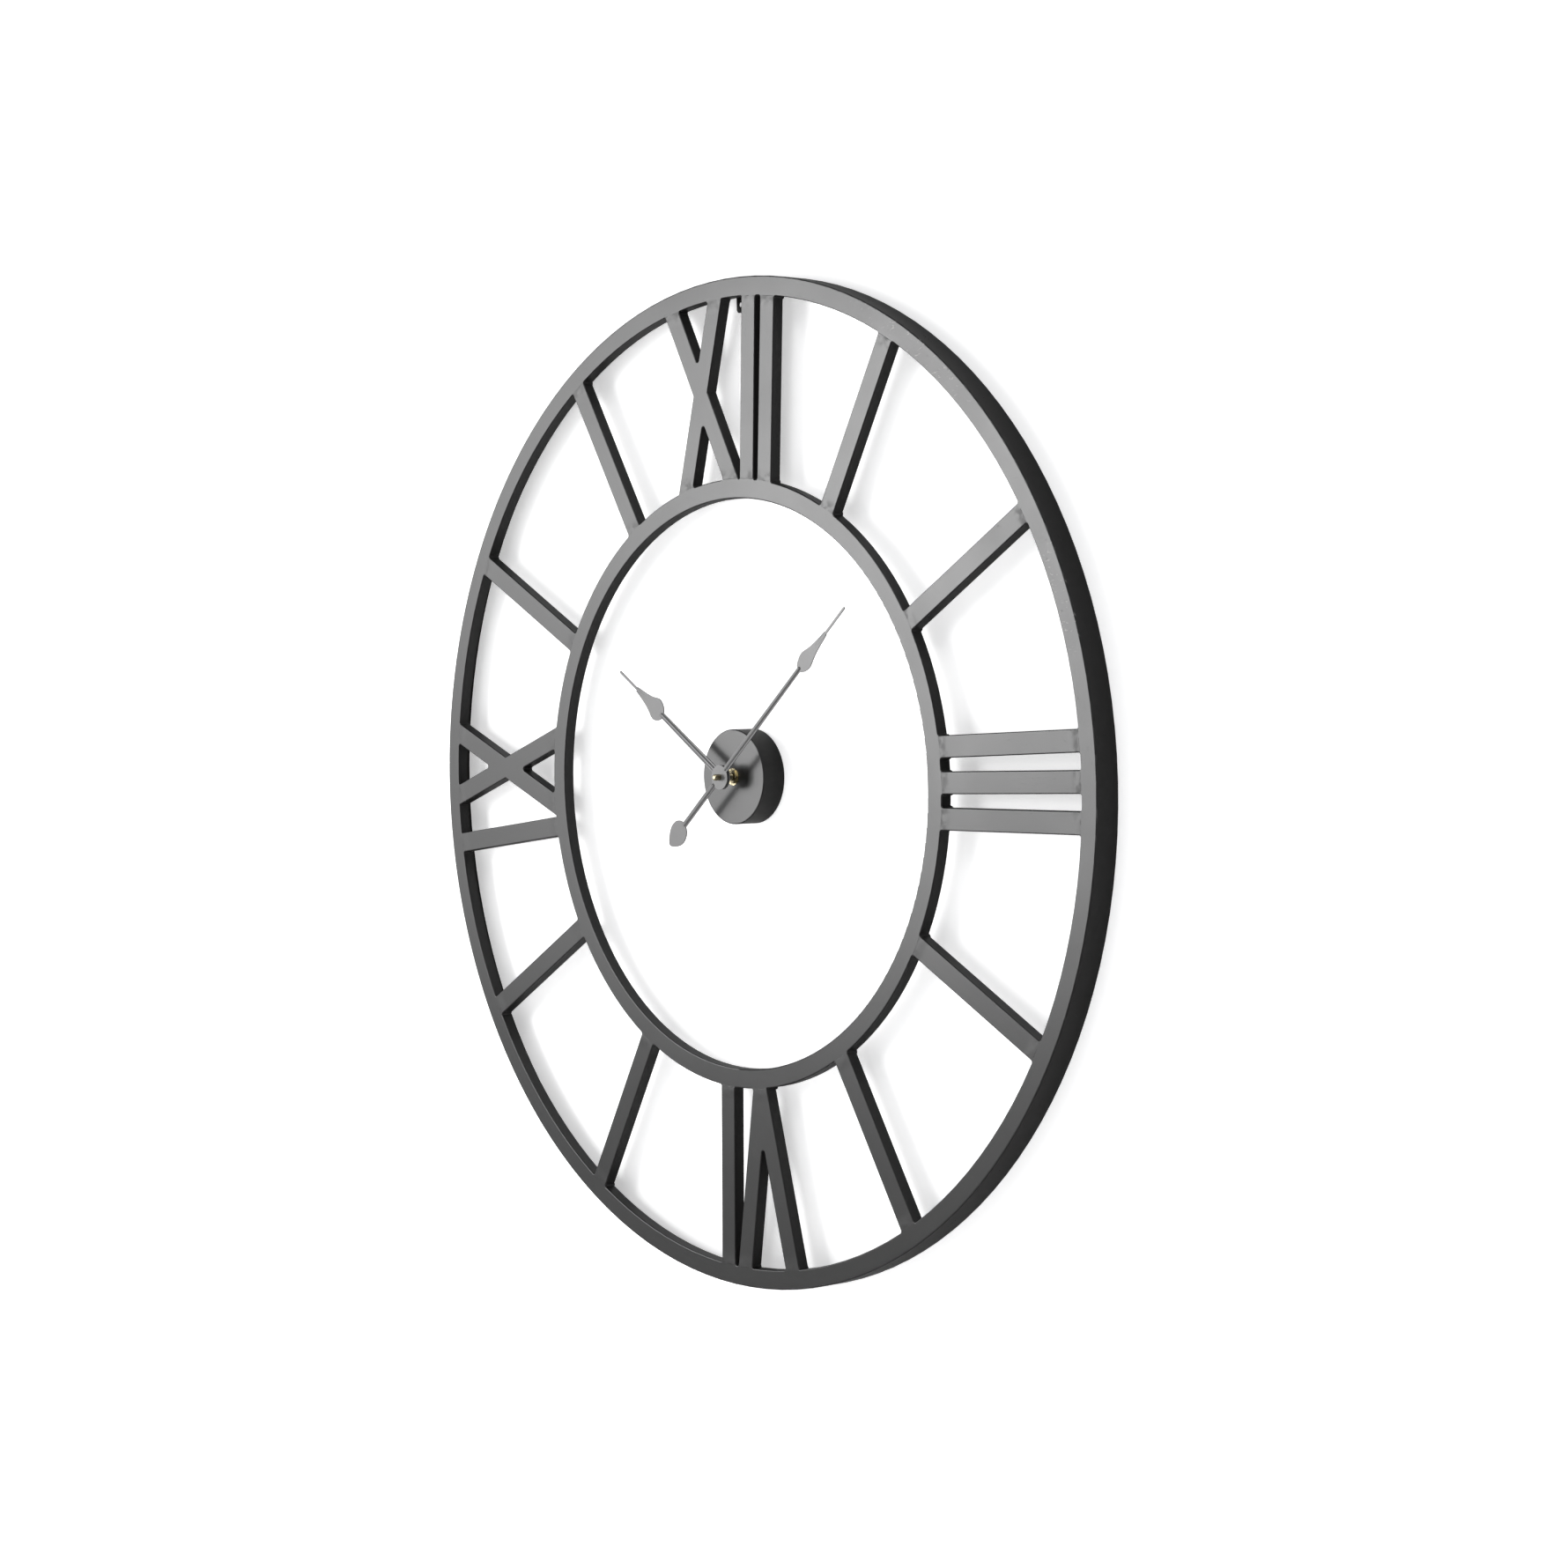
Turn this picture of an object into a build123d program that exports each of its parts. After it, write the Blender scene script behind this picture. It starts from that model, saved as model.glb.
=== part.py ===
# Large skeleton wall clock: a welded ring frame with Roman numeral bars, and a round drum
# that holds a quartz movement and two hands.
#
# Everything is drawn in clock coordinates: x to the viewer's right, y up, z out from the
# wall, in millimetres. The rings are drawn about their own centre, and the drum and all it
# carries about the hand axis. write() turns each piece so that the clock stands with +Z up and
# looks along -Y, and lifts what hangs with the drum: the drum has its own nail in the wall,
# and hangs a little above the middle of the rings.
from build123d import *
from math import acos, atan2, cos, degrees, hypot, pi, radians, sin, tan
import os

# ---------------------------------------------------------------- driving dimensions
CLOCK_RADIUS = 535.05          # 42.13 inch across
CLOCK_DEPTH = 55.1             # wall to the tip of the cap nut, 2.17 inch
RIM_DEPTH = 28.5               # wall to the front of the ring frame
HOOP_THICKNESS = 1.5
RING_WIDTH = 20.4              # face width of both ring tubes
INNER_RING_INNER = 302.8
TUBE_DEPTH = 12.5
TUBE_WALL = 1.2
BAR_WIDTH = 22.4               # face width of a numeral bar
EDGE_ROUND = 1.2               # rounded front edges of the tubes
WELD_ROUND = 2.5               # rounded corner where a bar meets a ring
MITRE_MARGIN = 0.3             # how far outside a through bar's side its neighbour is cut

HOOP_INNER = CLOCK_RADIUS - HOOP_THICKNESS
OUTER_RING_INNER = CLOCK_RADIUS - RING_WIDTH
INNER_RING_OUTER = INNER_RING_INNER + RING_WIDTH
BAR_MIDDLE = (OUTER_RING_INNER + INNER_RING_OUTER) / 2
BAR_REACH = 260.0              # long enough to cross between the rings at any lean
TUBE_BACK = RIM_DEPTH - TUBE_DEPTH

# Plain bars mark the hours that have no numeral.
PLAIN_HOURS = (1, 2, 4, 5, 7, 8, 10, 11)

# Straight numeral strokes: where the middle of the bar lies and which way it points,
# both as clock angles in degrees from 12.
STRAIGHT_STROKES = {
    "numeral_iii_upper_bar": (84.9, 89.0),
    "numeral_iii_middle_bar": (90.0, 90.0),
    "numeral_iii_lower_bar": (95.1, 91.0),
    "numeral_vi_i_bar": (183.6, 182.0),
    "numeral_ix_i_bar": (262.2, 264.0),
    "numeral_xii_left_i_bar": (5.5, 3.2),
    "numeral_xii_right_i_bar": (9.6, 3.8),
}
# Crossed strokes: the clock angle of the crossing and half the angle between the arms.
CROSSES = {"ix": (272.9, 21.0), "xii": (-5.3, 21.4)}
# The V of VI: the clock angle of its point on the inner ring, of its axis, and half its spread.
V_POINT_ANGLE, V_AXIS_ANGLE, V_HALF_SPREAD = 174.6, 177.9, 11.6

HANGER_WIDTH, HANGER_DROP, HANGER_THICKNESS = 12.0, 32.0, 1.5
HANGER_HOLE_RADIUS, HANGER_HOLE_HEIGHT = 2.75, 510.0

DRUM_RADIUS, DRUM_WALL, DRUM_LIFT = 50.5, 1.0, 8.0
RING_PIECES = ("outer_", "inner_", "ring_", "numeral_", "hour_0", "hour_1")

CASE_SIDE, CASE_BACK, CASE_FRONT, CASE_WALL, CASE_LID = 56.0, 10.5, 26.5, 1.5, 2.0
CASE_FLOOR = CASE_BACK + CASE_WALL
LID_BACK = CASE_FRONT - CASE_LID
BAY_WALL_TOP = -10.6           # top of the wall between the wheels and the battery
BAY_WALL = 1.0
CELL_RADIUS, CELL_LENGTH, CELL_HEIGHT = 7.0, 49.2, -19.1
CELL_DEPTH = LID_BACK - CELL_RADIUS - 0.3
CELL_NUB_RADIUS, CELL_NUB = 2.7, 0.8
CONTACT_THICKNESS, CONTACT_HALF_WIDTH = 0.4, 5.0
TAB_HOLE_RADIUS, TAB_HOLE_HEIGHT = 3.2, 33.5
TAB_WIDTH, TAB_LENGTH, TAB_CORNER = 16.0, 22.0, 6.0

THREAD_RADIUS, THREAD_PITCH, BUSHING_TOP = 4.0, 0.75, 38.0
NUT_ACROSS_FLATS, NUT_HEIGHT, WASHER_HEIGHT = 14.0, 3.0, 0.6
HOUR_TUBE_RADIUS, MINUTE_SHAFT_RADIUS, RUNNING_FIT = 2.75, 1.75, 0.08
REAR_ARBOR_RADIUS = 1.0
PIVOT_RADIUS, PIVOT_LENGTH, PIVOT_FIT, PIVOT_HOLE = 0.5, 0.8, 0.06, 1.0
END_SHAKE = 0.15
CLAMP_FIT = 0.02               # between the bushing's thread and what is clamped on it
WASHER_RADIUS, RUBBER_RADIUS, BUSHING_FLANGE = 9.2, 9.0, 6.0
THREAD_GROOVE = 0.4
KNOB_RADIUS, KNOB_BACK, KNOB_FRONT, KNOB_NOTCHES, NOTCH_RADIUS = 5.2, 3.8, 9.4, 16, 0.55

HAND_THICKNESS, HAND_HUB_RADIUS, HOUR_STEM, MINUTE_STEM = 1.2, 13.0, 8.6, 6.6
RIB_SHARE, RIB_HEIGHT = 0.78, 1.3      # the ridge pressed along a hand's stem
HOUR_HAND_BACK, MINUTE_HAND_BACK = 43.2, 46.4
CAP_RADIUS = 3.3
MINUTE_CLOCK_ANGLE = 50.6      # eight and a half minutes past ten
HOUR_CLOCK_ANGLE = 300.0 + MINUTE_CLOCK_ANGLE / 12

# Where the electric pieces sit in the case: heights above the wall, then places in its plane.
STATOR_LAYER, CORE_LAYER, COIL_LAYER = (16.8, 17.6), (17.6, 18.8), (15.2, 21.4)
CORE_LOW, CORE_HIGH, CORE_END = 22.6, 24.6, 19.0
STATOR_HALF, STATOR_BORE = 5.1, 3.4
COIL_LEFT, COIL_RIGHT, COIL_BUILD = -6.0, 11.0, 1.7
BOARD = (12.0, 26.0, -9.0, 17.0, CASE_FLOOR + 0.3, CASE_FLOOR + 1.3)
CHIP_PLACE, CHIP_CURVE, CHIP_SINK = (19.0, 10.0), 4.2, 2.2
CRYSTAL_PLACE, CRYSTAL_RADIUS, CRYSTAL_LENGTH = (21.5, -2.0), 1.05, 6.2

# Where the wheels run, as heights above the wall.
CENTRE_LAYER, THIRD_LAYER, FOURTH_LAYER, FIFTH_LAYER = (15.0, 15.8), (17.0, 17.8), (19.0, 19.8), (13.2, 13.9)
CENTRE_HUB, CENTRE_HUB_RADIUS = (14.2, 16.6), 2.2
THIRD_PINION, FOURTH_PINION, FIFTH_PINION, ROTOR_PINION = (14.6, 16.4), (16.6, 18.2), (18.6, 20.2), (12.8, 14.3)
ROTOR_COLLAR, MAGNET_LAYER, MAGNET_RADIUS, ROTOR_ARBOR_RADIUS = (15.4, 16.0), (16.0, 18.4), 3.0, 0.6
CANNON_LAYER, MOTION_LAYER = (20.4, 22.4), (20.9, 21.9)
MOTION_PINION_LAYER, HOUR_LAYER = (22.2, 24.0), (22.8, 23.6)
SHAFT_IN_CAP, TUBE_PROUD = 4.5, 0.3

# Wheel train, from the centre wheel back to the rotor. Every pinion has eight leaves.
TRAIN_MODULE, MOTION_MODULE, HOUR_MODULE = 0.3, 0.5, 0.48
PRESSURE_ANGLE = radians(20)
TOOTH_SHARE = 0.42             # tooth thickness as a share of the pitch, which leaves backlash


def beside(start, distance, angle):
    """The point at a distance and an angle (degrees, anticlockwise from +x) from another."""
    return (start[0] + distance * cos(radians(angle)), start[1] + distance * sin(radians(angle)))


def centres(small, large, module=TRAIN_MODULE):
    """Distance between the axes of two meshing wheels."""
    return (small + large) * module / 2


PINION_TEETH, CENTRE_TEETH, THIRD_TEETH, FOURTH_TEETH, FIFTH_TEETH = 8, 64, 60, 48, 40
CANNON_TEETH, MOTION_TEETH, MOTION_PINION_TEETH, HOUR_TEETH = 12, 36, 10, 40
CENTRE = (0.0, 0.0)
THIRD = beside(CENTRE, centres(PINION_TEETH, CENTRE_TEETH), 30)
FOURTH = beside(THIRD, centres(PINION_TEETH, THIRD_TEETH), 140)
FIFTH = beside(FOURTH, centres(PINION_TEETH, FOURTH_TEETH), 175)
ROTOR = beside(FIFTH, centres(PINION_TEETH, FIFTH_TEETH), 200)
MOTION = beside(CENTRE, centres(CANNON_TEETH, MOTION_TEETH, MOTION_MODULE), 180)

os.makedirs("parts", exist_ok=True)
written = []


def write(name, shape):
    """Turn a piece from clock coordinates to the part's own frame and save it."""
    lift = 0 if name.startswith(RING_PIECES) else DRUM_LIFT
    piece = Pos(0, 0, lift) * (Plane.XZ * shape)
    piece.label = name
    export_step(piece, "parts/" + name + ".step")
    written.append(name)


# ---------------------------------------------------------------- simple shapes
def disc(radius, bottom, top, at=CENTRE):
    return Pos(at[0], at[1], bottom) * extrude(Circle(radius), top - bottom)


def ring(outer, inner, bottom, top, at=CENTRE):
    return Pos(at[0], at[1], bottom) * extrude(Circle(outer) - Circle(inner), top - bottom)


def block(left, right, low, high, bottom, top):
    middle = Pos((left + right) / 2, (low + high) / 2, (bottom + top) / 2)
    return middle * Box(right - left, high - low, top - bottom)


# ---------------------------------------------------------------- the ring frame
def on_clock(radius, clock_angle):
    return (radius * sin(radians(clock_angle)), radius * cos(radians(clock_angle)))


def bar_outline(middle, direction, width=BAR_WIDTH):
    """The face of a straight bar through a point, pointing along a clock angle."""
    return Pos(middle[0], middle[1]) * (Rot(0, 0, -direction) * Rectangle(width, BAR_REACH))


def frame_strokes():
    """Every bar of the frame: name -> (middle point, direction)."""
    strokes = {}
    for hour in PLAIN_HOURS:
        angle = 30.0 * hour
        strokes["hour_%02d_bar" % hour] = (on_clock(BAR_MIDDLE, angle), angle)
    for name, (middle_angle, direction) in STRAIGHT_STROKES.items():
        strokes[name] = (on_clock(BAR_MIDDLE, middle_angle), direction)
    for numeral, (middle_angle, spread) in CROSSES.items():
        crossing = on_clock(BAR_MIDDLE, middle_angle)
        strokes["numeral_" + numeral + "_x_long_arm"] = (crossing, middle_angle - spread)
        strokes["numeral_" + numeral + "_x_cut_arm"] = (crossing, middle_angle + spread)
    point = on_clock(INNER_RING_OUTER, V_POINT_ANGLE)
    for side, lean in (("left", V_HALF_SPREAD), ("right", -V_HALF_SPREAD)):
        direction = V_AXIS_ANGLE + lean
        half = (BAR_MIDDLE - INNER_RING_OUTER) / cos(radians(direction - V_POINT_ANGLE))
        step = on_clock(half, direction)
        middle = (point[0] + step[0], point[1] + step[1])
        strokes["numeral_vi_v_" + side + "_arm"] = (middle, direction)
    return strokes


def rounded_window(window):
    """Round the corners of a window in the frame, less where its corner is tight."""
    for radius in (WELD_ROUND, WELD_ROUND / 2, WELD_ROUND / 4):
        try:
            rounded = window.fillet_2d(radius, window.vertices())
        except Exception:
            continue
        if rounded.is_valid:
            return rounded
    return window


def frame_face(strokes):
    """The whole welded frame as one flat plate with its windows cut and front edges eased."""
    windows = Circle(OUTER_RING_INNER) - Circle(INNER_RING_OUTER)
    for middle, direction in strokes.values():
        windows -= bar_outline(middle, direction)
    plate = ring(HOOP_INNER, INNER_RING_INNER, TUBE_BACK, RIM_DEPTH)
    openings = [rounded_window(window) for window in windows.faces()]
    for opening in openings:
        plate -= Pos(0, 0, TUBE_BACK) * extrude(opening, TUBE_DEPTH)
    front = plate.edges().filter_by_position(Axis.Z, RIM_DEPTH, RIM_DEPTH)
    eased = [edge for edge in front if hypot((edge @ 0).X, (edge @ 0).Y) < HOOP_INNER - 1]
    print("windows", len(openings), "front edges", len(eased))
    return fillet(eased, EDGE_ROUND)


def bar_core(middle, direction):
    """The hollow inside a bar's tube."""
    outline = bar_outline(middle, direction, BAR_WIDTH - 2 * TUBE_WALL)
    return Pos(0, 0, TUBE_BACK + TUBE_WALL) * extrude(outline, TUBE_DEPTH - 2 * TUBE_WALL)


def bar_space(middle, direction):
    """All that belongs to a bar that passes through others, a hair wider than its sides."""
    outline = bar_outline(middle, direction, BAR_WIDTH + 2 * MITRE_MARGIN)
    return Pos(0, 0, TUBE_BACK) * extrude(outline, TUBE_DEPTH)


def holding(solids, point):
    """The solid whose centre line passes nearest to a point of the frame's face."""
    return min(solids, key=lambda solid: solid.distance_to(Vertex(point[0], point[1], RIM_DEPTH - 2)))


def ring_frame():
    strokes = frame_strokes()
    plate = frame_face(strokes)
    between = ring(OUTER_RING_INNER, INNER_RING_OUTER, TUBE_BACK, RIM_DEPTH)
    groups = (plate & between).solids()
    print("bar groups", len(groups))
    inset = TUBE_WALL
    core = (TUBE_BACK + inset, RIM_DEPTH - inset)
    outer = plate & ring(HOOP_INNER, OUTER_RING_INNER, TUBE_BACK, RIM_DEPTH)
    write("outer_ring_tube", outer - ring(HOOP_INNER - inset, OUTER_RING_INNER + inset, *core))
    inner = plate & ring(INNER_RING_OUTER, INNER_RING_INNER, TUBE_BACK, RIM_DEPTH)
    write("inner_ring_tube", inner - ring(INNER_RING_OUTER - inset, INNER_RING_INNER + inset, *core))
    hoop = ring(CLOCK_RADIUS, HOOP_INNER, 0, RIM_DEPTH)
    lip = [edge for edge in hoop.edges().filter_by_position(Axis.Z, RIM_DEPTH, RIM_DEPTH)
           if edge.radius > CLOCK_RADIUS - 0.1]
    write("outer_hoop", fillet(lip, EDGE_ROUND))

    # The plain bars are one shape, turned about the hand axis from the first of them.
    first_middle, first_direction = strokes["hour_%02d_bar" % PLAIN_HOURS[0]]
    plain_bar = holding(groups, first_middle) - bar_core(first_middle, first_direction)

    for name, (middle, direction) in strokes.items():
        solid = holding(groups, middle)
        if name.startswith("hour_"):
            write(name, Rot(0, 0, first_direction - direction) * plain_bar)
        elif name.endswith("_x_long_arm"):
            write(name, (solid & bar_space(middle, direction)) - bar_core(middle, direction))
        elif name.endswith("_x_cut_arm"):
            long_arm = strokes[name.replace("_cut_", "_long_")]
            halves = (solid - bar_space(*long_arm)).solids()
            halves = [half for half in halves if half.volume > 1000]
            halves.sort(key=lambda half: hypot(half.center().X, half.center().Y))
            for half, place in zip(halves, ("inner", "outer")):
                half_name = name.replace("_cut_arm", "_" + place + "_half_arm")
                write(half_name, half - bar_core(middle, direction))
        elif name == "numeral_vi_v_left_arm":
            write(name, (solid & bar_space(middle, direction)) - bar_core(middle, direction))
        elif name == "numeral_vi_v_right_arm":
            left_arm = strokes["numeral_vi_v_left_arm"]
            rest = max((solid - bar_space(*left_arm)).solids(), key=lambda part: part.volume)
            write(name, rest - bar_core(middle, direction))
        else:
            write(name, solid - bar_core(middle, direction))


def ring_hanger():
    """The tab that the ring hangs by, welded inside the hoop at the top."""
    low = HOOP_INNER - HANGER_DROP
    outline = Rectangle(HANGER_WIDTH, HANGER_DROP + 10, align=(Align.CENTER, Align.MIN))
    outline = fillet(outline.vertices().group_by(Axis.Y)[0], HANGER_WIDTH / 3)
    outline = (Pos(0, low) * outline) & Circle(HOOP_INNER - 0.02)
    outline -= Pos(0, HANGER_HOLE_HEIGHT) * Circle(HANGER_HOLE_RADIUS)
    write("ring_hanger_tab", extrude(outline, HANGER_THICKNESS))


# ---------------------------------------------------------------- toothed wheels
def involute(angle):
    return tan(angle) - angle


def toothed(teeth, module, addendum, facing, tooth_faces):
    """A wheel's outline, with a tooth or a gap facing an angle in degrees."""
    pitch, root = teeth * module / 2, (teeth / 2 - 1.25) * module
    base, tip = pitch * cos(PRESSURE_ANGLE), pitch + addendum * module
    half_at_base = TOOTH_SHARE * pi / teeth + involute(PRESSURE_ANGLE)
    flank = [(min(root, base), half_at_base)]
    for step in range(4):
        radius = max(base, root) + (tip - max(base, root)) * step / 3
        flank.append((radius, half_at_base - involute(acos(min(1.0, base / radius)))))
    start = radians(facing) + (0 if tooth_faces else pi / teeth)
    outline = []
    for tooth in range(teeth):
        middle = start + 2 * pi * tooth / teeth
        for radius, half in flank:
            outline.append((radius * cos(middle - half), radius * sin(middle - half)))
        for radius, half in reversed(flank):
            outline.append((radius * cos(middle + half), radius * sin(middle + half)))
    return make_face(Polyline(*outline, close=True))


def bearing(start, end):
    """The angle, in degrees anticlockwise from +x, from one axis to another."""
    return degrees(atan2(end[1] - start[1], end[0] - start[0]))


def wheel(at, teeth, driver_at, bottom, top, module=TRAIN_MODULE, addendum=0.45):
    """A wheel with a gap that faces the pinion it meshes with."""
    outline = toothed(teeth, module, addendum, bearing(at, driver_at), False)
    return Pos(at[0], at[1], bottom) * extrude(outline, top - bottom)


def pinion(at, driven_at, bottom, top, teeth=PINION_TEETH, module=TRAIN_MODULE):
    """A pinion with a leaf that faces the wheel it meshes with."""
    outline = toothed(teeth, module, 0.9, bearing(at, driven_at), True)
    return Pos(at[0], at[1], bottom) * extrude(outline, top - bottom)


def arbor(at, radius=0.75, bottom=CASE_FLOOR + END_SHAKE, top=LID_BACK - END_SHAKE):
    """A shaft between the case's floor and its lid, with a fine pivot at each end."""
    pivots = disc(PIVOT_RADIUS, bottom - PIVOT_LENGTH, top + PIVOT_LENGTH, at)
    return disc(radius, bottom, top, at) + pivots


def spokes(solid, at, rim, hub, bottom, top, count=4):
    """Cut round lightening holes in a wheel's web."""
    hole, reach = (rim - hub) / 2 * 0.72, (rim + hub) / 2
    for index in range(count):
        spot = beside(at, reach, 45 + 360 * index / count)
        solid -= disc(hole, bottom, top, spot)
    return solid


# ---------------------------------------------------------------- drum and movement
def drum():
    can = disc(DRUM_RADIUS, 0, RIM_DEPTH)
    can = fillet(can.edges().group_by(Axis.Z)[-1], EDGE_ROUND)
    can -= disc(DRUM_RADIUS - DRUM_WALL, 0, RIM_DEPTH - DRUM_WALL)
    can -= disc(THREAD_RADIUS + 0.3, 0, RIM_DEPTH)
    write("drum_can", can)


def movement_case():
    half, top = CASE_SIDE / 2, LID_BACK
    shell = extrude(RectangleRounded(CASE_SIDE, CASE_SIDE, 3), top - CASE_BACK)
    shell = Pos(0, 0, CASE_BACK) * shell
    room = CASE_SIDE - 2 * CASE_WALL
    hollow = Pos(0, 0, CASE_FLOOR) * extrude(RectangleRounded(room, room, 1.5), top - CASE_FLOOR)
    bay_low, bay_high = CELL_HEIGHT - CELL_RADIUS - 0.7, BAY_WALL_TOP - BAY_WALL
    bay_wall = block(-half + 1, half - 1, bay_high, BAY_WALL_TOP, CASE_FLOOR, top)
    shell = shell - hollow + bay_wall
    bay_end = CELL_LENGTH / 2 + 1.2
    shell -= block(-bay_end, bay_end, bay_low, bay_high, CASE_BACK - 1, CASE_FLOOR)
    tab = Pos(0, half + 3) * RectangleRounded(TAB_WIDTH, TAB_LENGTH, TAB_CORNER)
    tab = extrude(tab - Pos(0, TAB_HOLE_HEIGHT) * Circle(TAB_HOLE_RADIUS), CASE_WALL)
    shell += (Pos(0, 0, CASE_BACK) * tab) - hollow
    shell -= disc(REAR_ARBOR_RADIUS + RUNNING_FIT, CASE_BACK, CASE_FLOOR, MOTION)
    for at in (CENTRE, THIRD, FOURTH, FIFTH, ROTOR):
        shell -= disc(PIVOT_RADIUS + PIVOT_FIT, CASE_FLOOR - PIVOT_HOLE, CASE_FLOOR, at)
    write("movement_case_back", shell)

    lid = Pos(0, 0, LID_BACK) * extrude(RectangleRounded(CASE_SIDE, CASE_SIDE, 3), CASE_LID)
    lid = chamfer(lid.edges().group_by(Axis.Z)[-1], 0.6)
    lid -= disc(THREAD_RADIUS + CLAMP_FIT, LID_BACK, CASE_FRONT)
    for at in (THIRD, FOURTH, FIFTH, ROTOR, MOTION):
        lid -= disc(PIVOT_RADIUS + PIVOT_FIT, LID_BACK, LID_BACK + PIVOT_HOLE, at)
    write("movement_case_front", lid)


def bushing_stack():
    """The brass bushing that the drum is clamped on, and what clamps it."""
    bore = HOUR_TUBE_RADIUS + RUNNING_FIT
    flange_back, groove = LID_BACK - 0.5, THREAD_RADIUS - THREAD_GROOVE
    outline = [(bore, flange_back), (BUSHING_FLANGE, flange_back), (BUSHING_FLANGE, LID_BACK)]
    outline.append((THREAD_RADIUS, LID_BACK))
    height = CASE_FRONT + 0.5
    while height < BUSHING_TOP - THREAD_PITCH:
        outline.append((THREAD_RADIUS, height))
        outline.append((groove, height + THREAD_PITCH / 2))
        height += THREAD_PITCH
    outline += [(THREAD_RADIUS, height), (groove, BUSHING_TOP), (bore, BUSHING_TOP)]
    profile = Plane.XZ * make_face(Polyline(*outline, close=True))
    write("threaded_bushing", revolve(profile, Axis.Z))
    clamp = THREAD_RADIUS + CLAMP_FIT
    write("rubber_washer", ring(RUBBER_RADIUS, clamp, CASE_FRONT, RIM_DEPTH - DRUM_WALL))
    washer_top = RIM_DEPTH + WASHER_HEIGHT
    write("brass_washer", ring(WASHER_RADIUS, clamp, RIM_DEPTH, washer_top))
    hexagon = RegularPolygon(NUT_ACROSS_FLATS / 2, 6, major_radius=False)
    nut = Pos(0, 0, washer_top) * extrude(hexagon, NUT_HEIGHT)
    corner_cut = disc(NUT_ACROSS_FLATS / 2 * 1.13, washer_top, washer_top + NUT_HEIGHT)
    nut &= chamfer(corner_cut.edges().group_by(Axis.Z)[-1], 0.6)
    write("hex_nut", nut - disc(clamp, washer_top, washer_top + NUT_HEIGHT))


def electronics():
    half, left = STATOR_HALF, ROTOR[0] - STATOR_HALF
    left_lug = block(left, ROTOR[0] + half, ROTOR[1] - half, CORE_HIGH, *STATOR_LAYER)
    left_lug -= disc(STATOR_BORE, *STATOR_LAYER, ROTOR)
    right_lug = block(COIL_RIGHT + 1, CORE_END, CORE_LOW - 3.6, CORE_HIGH, *STATOR_LAYER)
    write("stator", left_lug + right_lug + block(left, CORE_END, CORE_LOW, CORE_HIGH, *CORE_LAYER))
    coil = block(COIL_LEFT, COIL_RIGHT, CORE_LOW - COIL_BUILD, CORE_HIGH + COIL_BUILD, *COIL_LAYER)
    coil = fillet(coil.edges().filter_by(Axis.X), COIL_BUILD * 0.8)
    write("coil_winding", coil - block(COIL_LEFT - 1, COIL_RIGHT + 1, CORE_LOW, CORE_HIGH, *CORE_LAYER))
    board_top = BOARD[-1]
    write("circuit_board", block(*BOARD))
    blob = Pos(*CHIP_PLACE, board_top - CHIP_SINK) * Sphere(CHIP_CURVE)
    write("chip_cover", blob & disc(CHIP_CURVE, board_top, board_top + CHIP_CURVE, CHIP_PLACE))
    crystal = Rot(90, 0, 0) * Cylinder(CRYSTAL_RADIUS, CRYSTAL_LENGTH)
    write("quartz_crystal", Pos(*CRYSTAL_PLACE, board_top + CRYSTAL_RADIUS) * crystal)


def battery():
    """One AA cell lying across the bottom of the case, and the contacts at its ends."""
    middle = Pos(0, CELL_HEIGHT, CELL_DEPTH) * Rot(0, 90, 0)
    cell = Cylinder(CELL_RADIUS, CELL_LENGTH)
    cell = fillet(cell.edges().filter_by(GeomType.CIRCLE), 0.6)
    nub = Pos(0, 0, (CELL_LENGTH + CELL_NUB) / 2) * Cylinder(CELL_NUB_RADIUS, CELL_NUB)
    write("battery_cell", middle * (cell + nub))
    wall = CASE_SIDE / 2 - CASE_WALL
    low, high = CELL_HEIGHT - CONTACT_HALF_WIDTH, CELL_HEIGHT + CONTACT_HALF_WIDTH
    back, front = CELL_DEPTH - 4, CELL_DEPTH + 5
    plus = block(wall - CONTACT_THICKNESS, wall, low, high, back, front)
    write("battery_contact_plus", plus)
    minus = block(-wall, CONTACT_THICKNESS - wall, low, high, back, front)
    spring_end = -CELL_LENGTH / 2 - 0.2
    minus += block(-wall, spring_end, CELL_HEIGHT - 1.5, CELL_HEIGHT + 1.5, CELL_DEPTH - 1, CELL_DEPTH + 1)
    write("battery_contact_minus", minus)


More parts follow.
